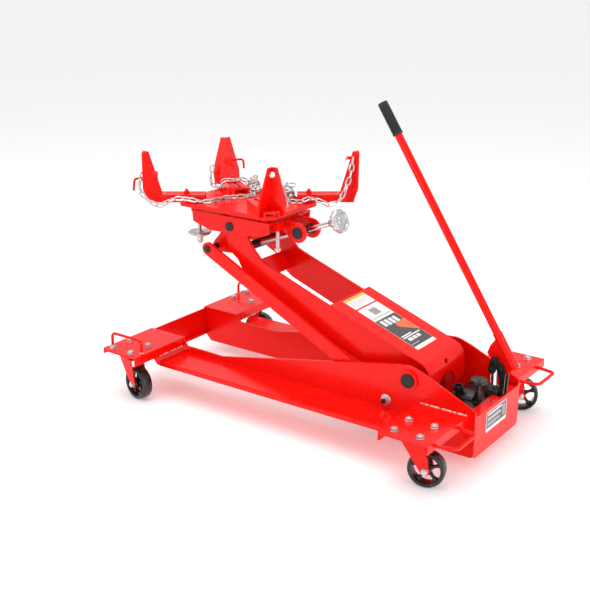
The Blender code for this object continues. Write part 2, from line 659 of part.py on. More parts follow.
node("saddle_plate", "red_paint", saddle_plate(), (cx0, 0, SIDE_PIN_Z))
side_pin = cyl((-0.3620, 0, SIDE_PIN_Z), (-0.1680, 0, SIDE_PIN_Z), 0.0045)
side_pin = fuse(side_pin, cyl((-0.3640, 0, SIDE_PIN_Z), (-0.3600, 0, SIDE_PIN_Z), 0.0065))
node("side_tilt_pin", "zinc", side_pin)


def corner_arm(tag):
    """Slotted inverted channel with a folded angle plate that leans and opens outward."""
    corner, d = DIAG[tag]
    base = corner + d * SLIDE_REST[tag]
    side = Vector((-d.y, d.x, 0))
    z0, z1 = SADDLE_TOP + GAP, SLIDE_TOP
    lean = math.tan(math.radians(16.5))

    def world(along, across, z):
        p = base + d * along + side * across
        return (p.x, p.y, z)

    def block(a0, a1, c0, c1, za, zb):
        return loft([[world(a, c, z) for a, c in ((a0, c0), (a1, c0), (a1, c1), (a0, c1))]
                     for z in (za, zb)])

    def angle_ring(height, wing):
        """Six corners of the folded plate at one height above the slide."""
        a, w, t = lean * height, wing / math.sqrt(2), 0.0060
        k = t / math.sqrt(2)
        return [world(a + x, y, z1 + height) for x, y in
                ((0, 0), (w, w), (w + k, w - k), (t * math.sqrt(2), 0), (w + k, k - w), (w, -w))]

    section = [(-0.024, z0), (-0.024, z1), (0.024, z1), (0.024, z0), (0.019, z0),
               (0.019, z1 - 0.006), (-0.019, z1 - 0.006), (-0.019, z0)]
    slide = loft([[world(a, c, z) for c, z in section] for a in (-0.130, 0.044)])
    slide = cut(slide, block(-0.1250, -0.0105, -0.0052, 0.0052, z0 - 0.01, z1 + 0.01))
    upright = loft([angle_ring(h, w) for h, w in ((-0.019, 0.060), (0.022, 0.062),
                                                  (0.128, 0.022))])
    if tag in ("left", "back"):
        boss = cyl(world(0.0125, 0, z1 + 0.0557), world(0.0470, 0, z1 + 0.0557), 0.0118, 22)
        if tag == "left":
            bends = ((0.030, 0.0, 0.050), (0.084, 0.0, 0.044), (0.088, 0.0, 0.008))
        else:
            bends = ((0.0330, -0.003, 0.0570), (0.0350, -0.054, 0.0560), (0.0360, -0.056, 0.0260))
        hook = rod([world(a, c, z1 + h) for a, c, h in bends], 0.0036, 0.010)
        return fuse(slide, upright, boss, hook)
    bolt = cyl(world(0.020, 0, z1 + 0.108), world(0.056, 0, z1 + 0.108), 0.0050)
    return fuse(slide, upright, bolt)


for tag in DIAG:
    node("corner_arm_" + tag, "red_paint", corner_arm(tag))


# ---- hydraulic power unit --------------------------------------------------------------
def pump_block():
    """Cast base with a ram socket, and two welded cheeks that carry the handle pivot."""
    block = box(0.4640, 0.5900, -0.0900, 0.0900, 0.0420, 0.1450)
    ridge = box(0.5280, 0.5640, -0.0180, 0.0180, 0.1400, 0.1500)
    cheek = ([(0.5832, 0.1300), (0.5828, 0.1692), (0.5802, 0.1986), (0.5688, 0.2300)]
             + arc(*HANDLE_PIVOT, 0.0127, 180, 20, 8)
             + [(0.5972, 0.2198), (0.5950, 0.1875), (0.5940, 0.1575), (0.5905, 0.1552),
                (0.5895, 0.1300)])
    cheeks = [prism_y(cheek, PUMP_Y + s * 0.01075 - 0.00275, PUMP_Y + s * 0.01075 + 0.00275)
              for s in (-1, 1)]
    body = fuse(block, ridge, *cheeks)
    return cut(body, cyl((0.45, 0, RAM_Z), (0.5330, 0, RAM_Z), 0.0330 + 0.0005),
               cyl((0.53, 0, RAM_Z), (0.5560, 0, RAM_Z), 0.0140 + GAP),
               cyl((PLUNGER_X, PUMP_Y, 0.1400), (PLUNGER_X, PUMP_Y, 0.175), 0.0130 + GAP),
               pin_y(HANDLE_PIVOT, 0.02, 0.08, 0.0060 + GAP),
               cyl((*RELEASE, 0.1350), (*RELEASE, 0.175), 0.0062))


RELEASE = (0.5510, -0.0310)
FILLER = (0.4870, -0.0240)
node("pump_block", "black_paint", pump_block())

ram = lathe((0.4660, 0, RAM_Z), (1, 0, 0),
            [(0, 0.0280), (0.0020, 0.0310), (0.0080, 0.0310), (0.0095, 0.0330), (0.0665, 0.0330)])
node("ram_cylinder", "black_paint",
     cut(ram, cyl((0.46, 0, RAM_Z), (0.5400, 0, RAM_Z), 0.0140 + GAP),
         cyl((*FILLER, 0.1500), (*FILLER, 0.1800), 0.0105)))
PUSH_X = ROLLER[0] + 0.0160 + 0.0015
rod_body = box(PUSH_X, PUSH_X + 0.0110, -0.0270, 0.0270, 0.1060, 0.1660)
rod_body = fuse(rod_body, cyl((PUSH_X + 0.010, 0, RAM_Z), (0.5110, 0, RAM_Z), 0.0140))
node("ram_piston", "chrome", rod_body)

barrel = lathe((PLUNGER_X, PUMP_Y, 0.1405), (0, 0, 1),
               [(0, 0.0130), (0.0048, 0.0130), (0.0048, 0.0225), (0.0090, 0.0245),
                (0.0270, 0.0245), (0.0290, 0.0225)])
node("pump_barrel", "black_paint",
     cut(barrel, cyl((PLUNGER_X, PUMP_Y, 0.1420), (PLUNGER_X, PUMP_Y, 0.20), 0.0100 + GAP)))


def plunger():
    """Chrome plunger with a round head and the pin that carries the pump link's open eyes."""
    top = PLUNGER_PIN_Z
    body = lathe((PLUNGER_X, PUMP_Y, 0.1440), (0, 0, 1),
                 [(0, 0.0092), (0.0010, 0.0100), (top - 0.1400, 0.0100), (top - 0.1382, 0.0085)])
    pin = pin_y((PLUNGER_X, top), PUMP_Y - 0.0205, PUMP_Y + 0.0205, 0.0040)
    return fuse(body, pin)


node("pump_plunger", "chrome", plunger())


def pump_link():
    """Pair of straps joined at the top; the lower eyes are open round the plunger pin."""
    x0, z0 = LINK_PIN
    strap = disc_outline([(x0, z0, 0.0120), (PLUNGER_X, PLUNGER_PIN_Z, 0.0115)])
    straps = [prism_y(strap, PUMP_Y + s * 0.0165 - 0.0025, PUMP_Y + s * 0.0165 + 0.0025)
              for s in (-1, 1)]
    link = fuse(straps[0], pin_y(LINK_PIN, PUMP_Y - 0.0205, PUMP_Y + 0.0205, 0.0040))
    link = fuse(link, straps[1])
    return cut(link, pin_y((PLUNGER_X, PLUNGER_PIN_Z), 0.0, 0.10, 0.0068))


node("pump_link", "black_paint", pump_link(), at(LINK_PIN, PUMP_Y))

# handle: lever plate between the cheeks, round tube and rubber grip
TUBE_FOOT, TUBE_TOP = Vector((0.6185, PUMP_Y, 0.2367)), Vector((0.1738, PUMP_Y, 0.9232))
TUBE_DIR = (TUBE_TOP - TUBE_FOOT).normalized()


def handle_lever():
    """Gusset plate welded to a short socket, with the pivot pin and its spacer."""
    plate = prism_y([(0.5620, 0.3180), (0.5427, 0.2903), (0.5362, 0.2726), (0.5335, 0.2675),
                     (0.5386, 0.2597), (0.5972, 0.2156), (0.6090, 0.2250), (0.6080, 0.2500)],
                    PUMP_Y - 0.0030, PUMP_Y + 0.0030)
    pin = pin_y(HANDLE_PIVOT, PUMP_Y - 0.0165, PUMP_Y + 0.0165, 0.0060)
    spacer = pin_y(HANDLE_PIVOT, PUMP_Y - 0.0077, PUMP_Y + 0.0077, 0.0100)
    tube = cyl(TUBE_FOOT, TUBE_FOOT + TUBE_DIR * 0.1100, 0.0132)
    lever = fuse(tube, plate, spacer, pin)
    return cut(lever, cyl(TUBE_FOOT + TUBE_DIR * 0.0100, TUBE_FOOT + TUBE_DIR * 0.12,
                          0.0112 + GAP),
               pin_y(LINK_PIN, 0.0, 0.10, 0.0043))


node("handle_lever", "red_paint", handle_lever(), at(HANDLE_PIVOT, PUMP_Y))
tube_a, tube_b = TUBE_FOOT + TUBE_DIR * 0.0110, TUBE_TOP - TUBE_DIR * 0.0060
node("handle_tube", "red_paint", cyl(tube_a, tube_b, 0.0112), at(HANDLE_PIVOT, PUMP_Y))
GRIP_LEN = 0.1000
grip_profile = [(0, 0.0125), (0.0015, 0.0148)]
grip_profile += [(GRIP_LEN - 0.003, 0.0148), (GRIP_LEN, 0.0115)]
grip = lathe(TUBE_TOP - TUBE_DIR * (GRIP_LEN - 0.002), TUBE_DIR, grip_profile, 16)
node("handle_grip", "grip_rubber", cut(grip, cyl(tube_a, tube_b + TUBE_DIR * 0.0003, 0.0115)),
     at(HANDLE_PIVOT, PUMP_Y))

release = lathe((*RELEASE, 0.1360), (0, 0, 1),
                [(0, 0.0058), (0.0094, 0.0058), (0.0094, 0.0096), (0.0470, 0.0096),
                 (0.0500, 0.0065), (0.0740, 0.0060)])
wheel_rings = []
for z, k in ((0.2060, 0.88), (0.2085, 1.0), (0.2155, 1.0), (0.2180, 0.90)):
    wheel_rings.append([(RELEASE[0] + 0.0256 * k * (1 + 0.05 * math.cos(8 * a)) * math.cos(a),
                         RELEASE[1] + 0.0256 * k * (1 + 0.05 * math.cos(8 * a)) * math.sin(a), z)
                        for a in (2 * math.pi * i / 32 for i in range(32))])
node("release_knob", "black_paint", fuse(release, loft(wheel_rings)), (*RELEASE, 0.18))

filler = lathe((*FILLER, 0.1503), (0, 0, 1), [(0, 0.0100), (0.0160, 0.0100), (0.0165, 0.0130)])
filler = fuse(filler, hexa((*FILLER, 0.1660), (*FILLER, 0.1820), 0.0275, 0.2))
filler = cut(filler, cyl((*FILLER, 0.1740), (*FILLER, 0.1900), 0.0105))
node("filler_plug", "black_oxide", filler, (*FILLER, 0.17))


# ---- safety chains (plain solids along the path of each chain) -------------------------
CHAIN_R = 0.0060
LIE, OVER = SADDLE_TOP + 0.0065, SLIDE_TOP + 0.0080      # lying on the plate, over a slide


def beside(tag, points):
    """World points from (outward, sideways, height) about the foot of one upright."""
    corner, d = DIAG[tag]
    foot = corner + d * SLIDE_REST[tag]
    side = Vector((-d.y, d.x, 0))
    return [Vector((0, 0, z)) + foot + d * a + side * c for a, c, z in points]


CHAINS = {
    "chain_left": beside("left", [
        (0.060, 0.018, 0.674), (0.064, 0.038, 0.650), (0.054, 0.056, 0.628),
        (0.030, 0.060, 0.606), (0.002, 0.056, 0.594), (-0.021, 0.050, 0.604),
        (-0.045, 0.040, 0.611), (-0.080, 0.035, 0.608), (-0.118, 0.036, LIE + 0.001),
        (-0.150, 0.028, LIE)]) + [(-0.335, -0.030, LIE), (-0.305, 0.010, LIE),
                                  (-0.285, 0.060, LIE)],
    "chain_right": beside("front", [
        (0.034, 0.022, 0.712), (0.022, 0.038, 0.680), (0.008, 0.054, 0.640),
        (-0.012, 0.060, 0.612), (-0.045, 0.058, LIE)]) + [(-0.140, 0.010, LIE),
                                                          (-0.176, 0.080, LIE),
                                                          (-0.150, 0.060, LIE)]
    + beside("right", [
        (-0.120, -0.036, LIE), (-0.092, -0.036, 0.610), (-0.058, -0.043, 0.603),
        (-0.035, -0.045, 0.594), (-0.006, -0.045, 0.603), (0.010, -0.042, 0.627),
        (0.022, -0.036, 0.656), (0.031, -0.030, 0.682), (0.037, -0.020, 0.722)]),
    "chain_back": beside("back", [
        (0.030, 0.052, 0.652), (0.026, 0.058, 0.624), (0.004, 0.058, 0.606),
        (-0.030, 0.042, LIE + 0.003), (-0.042, 0.032, OVER), (-0.042, 0.000, OVER),
        (-0.042, -0.032, OVER), (-0.046, -0.046, LIE), (-0.075, -0.054, LIE),
        (-0.100, -0.048, LIE)]),
}
for tag, path in CHAINS.items():
    node(tag, "zinc", rod(path, CHAIN_R, 0.03, 6, 2))

for part in bpy.data.objects:
    part.location.x -= ORIGIN_SHIFT
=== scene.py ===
"""Looks of the two-ton transmission jack: paint, fasteners, threads, chains, labels and welds.

Lengths are metres. Places are given in the part's drawing coordinates, in which the caster
swivels lie symmetrically about x = 0; spot() moves them to the row frame's origin.
"""
import json
import math

import bmesh
import bpy
from mathutils import Matrix, Vector


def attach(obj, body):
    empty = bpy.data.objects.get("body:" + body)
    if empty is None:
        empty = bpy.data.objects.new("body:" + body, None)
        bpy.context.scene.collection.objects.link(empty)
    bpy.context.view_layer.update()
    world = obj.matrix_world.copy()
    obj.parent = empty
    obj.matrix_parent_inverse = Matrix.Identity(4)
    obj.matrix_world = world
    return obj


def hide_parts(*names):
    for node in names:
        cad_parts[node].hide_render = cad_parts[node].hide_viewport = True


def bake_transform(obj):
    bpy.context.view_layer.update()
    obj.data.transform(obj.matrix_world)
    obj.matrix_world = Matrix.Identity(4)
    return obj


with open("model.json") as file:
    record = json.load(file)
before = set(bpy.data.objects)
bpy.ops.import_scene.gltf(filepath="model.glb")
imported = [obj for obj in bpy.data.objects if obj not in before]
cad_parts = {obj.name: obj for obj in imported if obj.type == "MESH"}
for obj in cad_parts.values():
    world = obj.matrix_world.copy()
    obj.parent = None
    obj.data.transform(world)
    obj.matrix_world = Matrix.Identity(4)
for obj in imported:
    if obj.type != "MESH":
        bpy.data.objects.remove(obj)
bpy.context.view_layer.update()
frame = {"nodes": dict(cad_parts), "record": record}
nodes = frame["nodes"]

# ---- driving dimensions ----------------------------------------------------------------
ORIGIN_SHIFT = 0.035              # from mid wheelbase to the middle of the overall box
DECK_TOP = 0.155
FRONT_X, REAR_X, FRONT_Y, REAR_Y = -0.5, 0.5, 0.2985, 0.2904
WHEEL_R, WHEEL_HALF, TRAIL = 0.0508, 0.0175, 0.0373
SHAFT = (0.394, 0.213)
LINK_LOW = (0.326, 0.138)
HEAD_PIN = (-0.254, 0.537)
LINK_TOP = (HEAD_PIN[0] + LINK_LOW[0] - SHAFT[0], HEAD_PIN[1] + LINK_LOW[1] - SHAFT[1])
TRUNNION, EAR = (-0.227, 0.467), (-0.0505, 0.5347)
SIDE_SCREW, STUD = (-0.418, -0.050), (-0.100, -0.070)
SADDLE_C, SADDLE_A, SADDLE_B, SADDLE_TOP = (-0.265, 0.0), 0.180, 0.130, 0.595
PUMP_Y = 0.051
HANDLE_PIVOT, LINK_PIN = (0.580, 0.2328), (0.5642, 0.2537)
PLUNGER = (0.5575, 0.2249)
RELEASE, FILLER = (0.5510, -0.0310), (0.4870, -0.0240)
COVER_FRONT, COVER_SLOPE = (0.112, 0.3635), math.radians(20)
CASTERS = (("front_near", FRONT_X, -FRONT_Y, -12.0), ("front_far", FRONT_X, FRONT_Y, 20.0),
           ("rear_near", REAR_X, -REAR_Y, 13.6), ("rear_far", REAR_X, REAR_Y, 23.4))


def spot(x, y, z):
    """A point of the drawing, in the row frame."""
    return Vector((x - ORIGIN_SHIFT, y, z))


def side_spot(xz, y):
    return spot(xz[0], y, xz[1])


# ---- materials -------------------------------------------------------------------------
def surface(name, colour, rough, metal=0.0, coat=0.0, spread=0.12, rough_spread=0.08,
            grain=60.0, bump=0.05, bump_scale=400.0, edge=0.0008, edge_wear_and_sheen=None, edge_wear_and_sheen_amount=0.5,
            shine=0.5):
    """Principled finish with mottled colour, uneven gloss, fine relief and softened edges.

    The edge colour is mixed onto the edges: rubbed-thin paint or plating on most finishes, a painted
    highlight on the red paint and the welds.
    """
    mat = bpy.data.materials.new(name)
    mat.use_nodes = True
    mat.diffuse_color = (*colour, 1.0)
    tree = mat.node_tree
    shader = tree.nodes["Principled BSDF"]
    shader.inputs["Base Color"].default_value = (*colour, 1.0)
    shader.inputs["Roughness"].default_value = rough
    shader.inputs["Metallic"].default_value = metal
    shader.inputs["Specular IOR Level"].default_value = shine
    shader.inputs["Coat Weight"].default_value = coat
    shader.inputs["Coat Roughness"].default_value = 0.06

    def add(kind, **values):
        made = tree.nodes.new(kind)
        for key, value in values.items():
            setattr(made, key, value)
        return made

    def link(a, out, b, into):
        tree.links.new(a.outputs[out], b.inputs[into])

    def noise(scale, detail):
        made = add("ShaderNodeTexNoise")
        made.inputs["Scale"].default_value = scale
        made.inputs["Detail"].default_value = detail
        link(place, "Object", made, "Vector")
        return made

    def remap(source, low, high, low_to, high_to):
        made = add("ShaderNodeMapRange")
        for key, value in (("From Min", low), ("From Max", high), ("To Min", low_to),
                           ("To Max", high_to)):
            made.inputs[key].default_value = value
        link(source, 0, made, "Value")
        return made

    def blend_colours(factor, first, second):
        made = add("ShaderNodeMix", data_type="RGBA")
        link(factor, 0, made, "Factor")
        for socket, value in ((6, first), (7, second)):
            if isinstance(value, bpy.types.Node):
                tree.links.new(value.outputs[2], made.inputs[socket])
            else:
                made.inputs[socket].default_value = (*value, 1.0)
        return made

    place = add("ShaderNodeTexCoord")
    broad, fine = noise(grain * 0.12, 3.0), noise(grain, 6.0)
    dark = tuple(c * (1.0 - spread) for c in colour)
    light = tuple(min(1.0, c * (1.0 + spread)) for c in colour)
    mottled = blend_colours(remap(broad, 0.3, 0.7, 0.0, 1.0), dark, light)
    soft = add("ShaderNodeBevel", samples=4)
    soft.inputs["Radius"].default_value = edge
    rough_value = remap(fine, 0.3, 0.7, rough - rough_spread, rough + rough_spread)
    link(rough_value, 0, shader, "Roughness")
    # edge colour: worn paint or plating on most finishes, painted highlight on the red paint and the
    # welds
    if edge_wear_and_sheen:
        flat = add("ShaderNodeNewGeometry")
        agree = add("ShaderNodeVectorMath", operation="DOT_PRODUCT")
        tree.links.new(soft.outputs[0], agree.inputs[0])
        link(flat, "Normal", agree, 1)
        lost = add("ShaderNodeMath", operation="SUBTRACT")
        lost.inputs[0].default_value = 1.0
        tree.links.new(agree.outputs["Value"], lost.inputs[1])
        on_edge = remap(lost, 0.03, 0.22, 0.0, 1.0)
        patches = remap(noise(grain * 2.2, 8.0), 0.56, 0.70, 0.0, edge_wear_and_sheen_amount)
        wear_and_sheen_mask = add("ShaderNodeMath", operation="MULTIPLY")
        link(on_edge, 0, wear_and_sheen_mask, 0)
        link(patches, 0, wear_and_sheen_mask, 1)
        mottled = blend_colours(wear_and_sheen_mask, mottled, edge_wear_and_sheen)
    tree.links.new(mottled.outputs[2], shader.inputs["Base Color"])
    relief = add("ShaderNodeBump")
    relief.inputs["Strength"].default_value = bump
    relief.inputs["Distance"].default_value = 0.0006
    link(noise(bump_scale, 3.0), 0, relief, "Height")
    link(soft, 0, relief, "Normal")
    link(relief, 0, shader, "Normal")
    return mat


LOOK = {
    # red paint: its lighter pink-red edge colour is a painted highlight on the edges, not wear
    "red_paint": surface("red_paint", (0.90, 0.004, 0.001), 0.25, coat=0.10, spread=0.03,
                         shine=0.20, rough_spread=0.05, bump=0.05, bump_scale=260.0, edge=0.0011,
                         edge_wear_and_sheen=(0.95, 0.10, 0.06), edge_wear_and_sheen_amount=0.3),
    "black_paint": surface("black_paint", (0.006, 0.006, 0.007), 0.34, coat=0.15, spread=0.3,
                           rough_spread=0.12, bump=0.22, bump_scale=330.0, edge=0.0012,
                           edge_wear_and_sheen=(0.12, 0.115, 0.11), edge_wear_and_sheen_amount=0.7),
    "black_oxide": surface("black_oxide", (0.014, 0.014, 0.015), 0.30, metal=0.3, spread=0.3,
                           rough_spread=0.1, bump=0.10, bump_scale=500.0, edge=0.0008,
                           edge_wear_and_sheen=(0.34, 0.33, 0.32), edge_wear_and_sheen_amount=0.7),
    "zinc": surface("zinc", (0.66, 0.66, 0.65), 0.30, metal=1.0, spread=0.16, rough_spread=0.1,
                    bump=0.10, bump_scale=600.0, edge=0.0006, edge_wear_and_sheen=(0.85, 0.85, 0.84)),
    "chrome": surface("chrome", (0.78, 0.79, 0.80), 0.11, metal=1.0, spread=0.05,
                      rough_spread=0.05, bump=0.03, bump_scale=500.0, edge=0.0006,
                      edge_wear_and_sheen=(0.9, 0.9, 0.9)),
    "cast_zinc": surface("cast_zinc", (0.64, 0.64, 0.65), 0.34, metal=0.85, spread=0.12,
                         rough_spread=0.1, bump=0.20, bump_scale=380.0, edge=0.0012,
                         edge_wear_and_sheen=(0.88, 0.88, 0.88), edge_wear_and_sheen_amount=0.8),
    "wheel_iron": surface("wheel_iron", (0.007, 0.007, 0.008), 0.30, coat=0.2, spread=0.3,
                          rough_spread=0.1, bump=0.18, bump_scale=280.0, edge=0.0014,
                          edge_wear_and_sheen=(0.14, 0.14, 0.14), edge_wear_and_sheen_amount=0.8),
    "grip_rubber": surface("grip_rubber", (0.018, 0.018, 0.019), 0.56, spread=0.25,
                           rough_spread=0.12, bump=0.3, bump_scale=700.0, edge=0.0007,
                           edge_wear_and_sheen=(0.05, 0.05, 0.05)),
    # weld beads: the pale pinkish colour and the whiter edges are painted highlight on red-painted welds
    "weld": surface("weld", (0.88, 0.62, 0.58), 0.34, metal=0.2, spread=0.5, rough_spread=0.16,
                    grain=300.0, bump=0.4, bump_scale=500.0, edge=0.0006,
                    edge_wear_and_sheen=(0.95, 0.93, 0.92), edge_wear_and_sheen_amount=0.9),
}
LABEL_INKS = {
    "white": (0.86, 0.86, 0.86), "dark": (0.075, 0.073, 0.072), "yellow": (0.88, 0.55, 0.05),
    "orange": (0.86, 0.16, 0.05), "grey": (0.32, 0.32, 0.33),
}
INK = {ink: surface("label_" + ink, colour, 0.38, coat=0.1, spread=0.05, bump=0.04,
                    bump_scale=240.0, edge=0.0003, edge_wear_and_sheen=(0.7, 0.7, 0.7), edge_wear_and_sheen_amount=0.2)
       for ink, colour in LABEL_INKS.items()}


# ---- mesh building ---------------------------------------------------------------------
def frame_of(axis):
    w = Vector(axis).normalized()
    u = Vector((0, 0, 1)).cross(w)
    u = u.normalized() if u.length > 0.01 else Vector((1, 0, 0))
    return u, w.cross(u), w


def skin(bm, rings, wrap=False, ink=0):
    """Joins equal rings of points into a surface, closed round at the ends or back to the start."""
    rows = [[bm.verts.new(p) for p in ring] for ring in rings]
    count = len(rows[0])
    pairs = list(zip(rows, rows[1:])) + ([(rows[-1], rows[0])] if wrap else [])
    for low, high in pairs:
        for i in range(count):
            j = (i + 1) % count
            bm.faces.new((low[i], low[j], high[j], high[i])).material_index = ink
    if not wrap:
        bm.faces.new(rows[0][::-1]).material_index = ink
        bm.faces.new(rows[-1]).material_index = ink


def turn(bm, start, axis, profile, sides=40, shape=None):
    """Turned solid from (distance, radius) pairs; shape(angle, distance, radius) can shape it."""
    u, v, w = frame_of(axis)
    start = Vector(start)
    rings = []
    for d, r in profile:
        ring = []
        for i in range(sides):
            a = 2 * math.pi * i / sides
            k = shape(a, d, r) if shape else r
            ring.append(start + w * d + (u * math.cos(a) + v * math.sin(a)) * k)
        rings.append(ring)
    skin(bm, rings)


def hexagon(across, turned=0.0):
    """Shape rule of a six-sided head whose corners are rounded off by the turned profile."""
    third = math.pi / 3

    def rule(angle, _distance, radius):
        a = (angle + turned) % third - third / 2
        return min(radius, across / 2 / math.cos(a))
    return rule


def hex_head(bm, start, axis, across, height, turned=0.0):
    """Bolt head or nut with the usual thirty degree chamfer on its outer face."""
    corner = across / 2 / math.cos(math.pi / 6)
    turn(bm, start, axis, [(0, corner * 0.96), (height * 0.06, corner), (height * 0.80, corner),
                           (height * 0.93, corner * 0.94), (height, corner * 0.85)],
         36, hexagon(across, turned=turned))


def washer(bm, start, axis, radius, thick):
    turn(bm, start, axis, [(0, radius * 0.97), (thick * 0.3, radius), (thick * 0.8, radius),
                           (thick, radius * 0.96)], 32)


def screw_thread(bm, start, axis, length, radius, pitch, depth, sides=20, steps=5):
    """Round bar with a real helical ridge."""
    def rule(angle, distance, r):
        phase = (distance / pitch - angle / (2 * math.pi)) % 1.0
        fade = min(1.0, distance / pitch, (length - distance) / pitch)
        return r - depth * abs(2 * phase - 1) * max(0.0, fade) - depth * (1 - max(0.0, fade))
    count = max(2, int(length / pitch * steps))
    turn(bm, start, axis, [(length * i / count, radius) for i in range(count + 1)], sides, rule)


def smooth_path(points, per_span=12, loop=False):
    """Catmull-Rom curve through the points."""
    pts = [Vector(p) for p in points]
    if loop:
        ends = [pts[-1]] + pts + [pts[0], pts[1]]
    else:
        ends = [pts[0] * 2 - pts[1]] + pts + [pts[-1] * 2 - pts[-2]]
    out = []
    for p0, p1, p2, p3 in zip(ends, ends[1:], ends[2:], ends[3:]):
        for i in range(per_span):
            t = i / per_span
            out.append(0.5 * (2 * p1 + (p2 - p0) * t + (2 * p0 - 5 * p1 + 4 * p2 - p3) * t * t
                              + (3 * p1 - p0 - 3 * p2 + p3) * t ** 3))
    if not loop:
        out.append(pts[-1])
    return out


def evenly(path, step):
    """Points along a path at equal distances, each with its direction."""
    lengths = [0.0]
    for a, b in zip(path, path[1:]):
        lengths.append(lengths[-1] + (b - a).length)
    count = max(2, int(lengths[-1] / step))
    out, k = [], 0
    for i in range(count + 1):
        d = lengths[-1] * i / count
        while k < len(lengths) - 2 and lengths[k + 1] < d:
            k += 1
        span = lengths[k + 1] - lengths[k]
        t = (d - lengths[k]) / span if span else 0.0
        out.append((path[k].lerp(path[k + 1], t), (path[k + 1] - path[k]).normalized()))
    return out


def tube(bm, path, radius, sides=10, loop=False, rule=None):
    """Round wire along a path; rule(index) scales its radius."""
    rings, normal = [], None
    count = len(path)
    for i, p in enumerate(path):
        ahead = path[(i + 1) % count] if loop or i < count - 1 else p
        behind = path[i - 1] if loop or i else p
        w = (ahead - behind).normalized()
        if normal is None:
            normal = frame_of(w)[0]
        normal = (normal - w * normal.dot(w)).normalized()
        other = w.cross(normal)
        r = radius * (rule(i) if rule else 1.0)
        rings.append([p + (normal * math.cos(a) + other * math.sin(a)) * r
                      for a in (2 * math.pi * j / sides for j in range(sides))])
    skin(bm, rings, wrap=loop)


def make(name, bm, look, body, sharp=38.0, stands_for=()):
    """Turns a bmesh into a named piece that rides on a body."""
    bmesh.ops.recalc_face_normals(bm, faces=bm.faces[:])
    mesh = bpy.data.meshes.new(name)
    bm.to_mesh(mesh)
    bm.free()
    mesh.shade_smooth()
    mesh.set_sharp_from_angle(angle=math.radians(sharp))
    piece = bpy.data.objects.new(name, mesh)
    bpy.context.scene.collection.objects.link(piece)
    for mat in (look if isinstance(look, (list, tuple)) else [LOOK[look]]):
        mesh.materials.append(mat)
    if body:
        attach(piece, body)
    if stands_for:
        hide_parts(*stands_for)
    return piece


# ---- finish of every CAD node ----------------------------------------------------------
for entry in frame["record"]["subparts"]:
    mesh = nodes[entry["node"]].data
    mesh.materials.clear()
    mesh.materials.append(LOOK[entry["material_slot"]])


# ---- casters ---------------------------------------------------------------------------
def caster_wheel(corner, x, y, yaw):
    """Cast wheel: rounded tread, five spokes between lens-shaped windows, turned hub."""
    a = math.radians(yaw)
    centre = spot(x + TRAIL * math.cos(a), y + TRAIL * math.sin(a), WHEEL_R)
    axle = Vector((-math.sin(a), math.cos(a), 0))
    fore = Vector((math.cos(a), math.sin(a), 0))
    up = Vector((0, 0, 1))
    bm = bmesh.new()
    section = [(-0.0130, 0.0395), (-0.0150, 0.0400), (-WHEEL_HALF, 0.0445),
               (-0.0168, 0.0478), (-0.0140, 0.0499), (-0.0095, WHEEL_R), (0.0, WHEEL_R + 0.00001)]
    section += [(-d, r) for d, r in reversed(section[:-1])]
    around = 72
    rings = [[centre + axle * d + (fore * math.cos(t) + up * math.sin(t)) * r
              for d, r in section] for t in (2 * math.pi * i / around for i in range(around))]
    skin(bm, rings, wrap=True)
    for s in (-1, 1):
        turn(bm, centre + axle * s * 0.004, axle * s,
             [(0, 0.0150), (0.0100, 0.0138), (0.0136, 0.0132), (0.0150, 0.0120),
              (0.0150, 0.0072)], 32)
    for k in range(5):
        t = 2 * math.pi * (k + 0.3) / 5
        out = fore * math.cos(t) + up * math.sin(t)
        across = up * math.cos(t) - fore * math.sin(t)
        stations = []
        for j in range(9):
            f = j / 8
            r = 0.0115 + (0.0405 - 0.0115) * f
            half = 0.0042 + 0.0050 * (2 * f - 1) ** 2 + 0.0030 * max(0.0, 2 * f - 1) ** 3
            deep = 0.0052 + 0.0022 * (2 * f - 1) ** 2
            stations.append([centre + out * r + across * half * math.cos(q)
                             * (abs(math.cos(q)) ** -0.35 if abs(math.cos(q)) > 0.05 else 1)
                             + axle * deep * math.sin(q)
                             for q in (2 * math.pi * m / 16 for m in range(16))])
        skin(bm, stations)
    make("wheel_casting_" + corner, bm, "wheel_iron", "wheel_" + corner, 40,
         ["caster_wheel_" + corner])
    bm = bmesh.new()
    for s in (-1, 1):
        washer(bm, centre + axle * s * 0.0238, axle * s, 0.0098, 0.0012)
        hex_head(bm, centre + axle * s * 0.0249, axle * s, 0.0165, 0.0058, 0.3 * s)
        turn(bm, centre + axle * s * 0.029, axle * s,
             [(0, 0.0045), (0.0028, 0.0045), (0.0036, 0.0036)], 20)
    make("axle_bolt_" + corner, bm, "zinc", "swivel_" + corner)
    bm = bmesh.new()
    for s in (-1, 1):
        turn(bm, centre + axle * s * 0.0180, axle * s, [(0, 0.0090), (0.0022, 0.0090)], 24)
    make("hub_washers_" + corner, bm, "zinc", "swivel_" + corner)


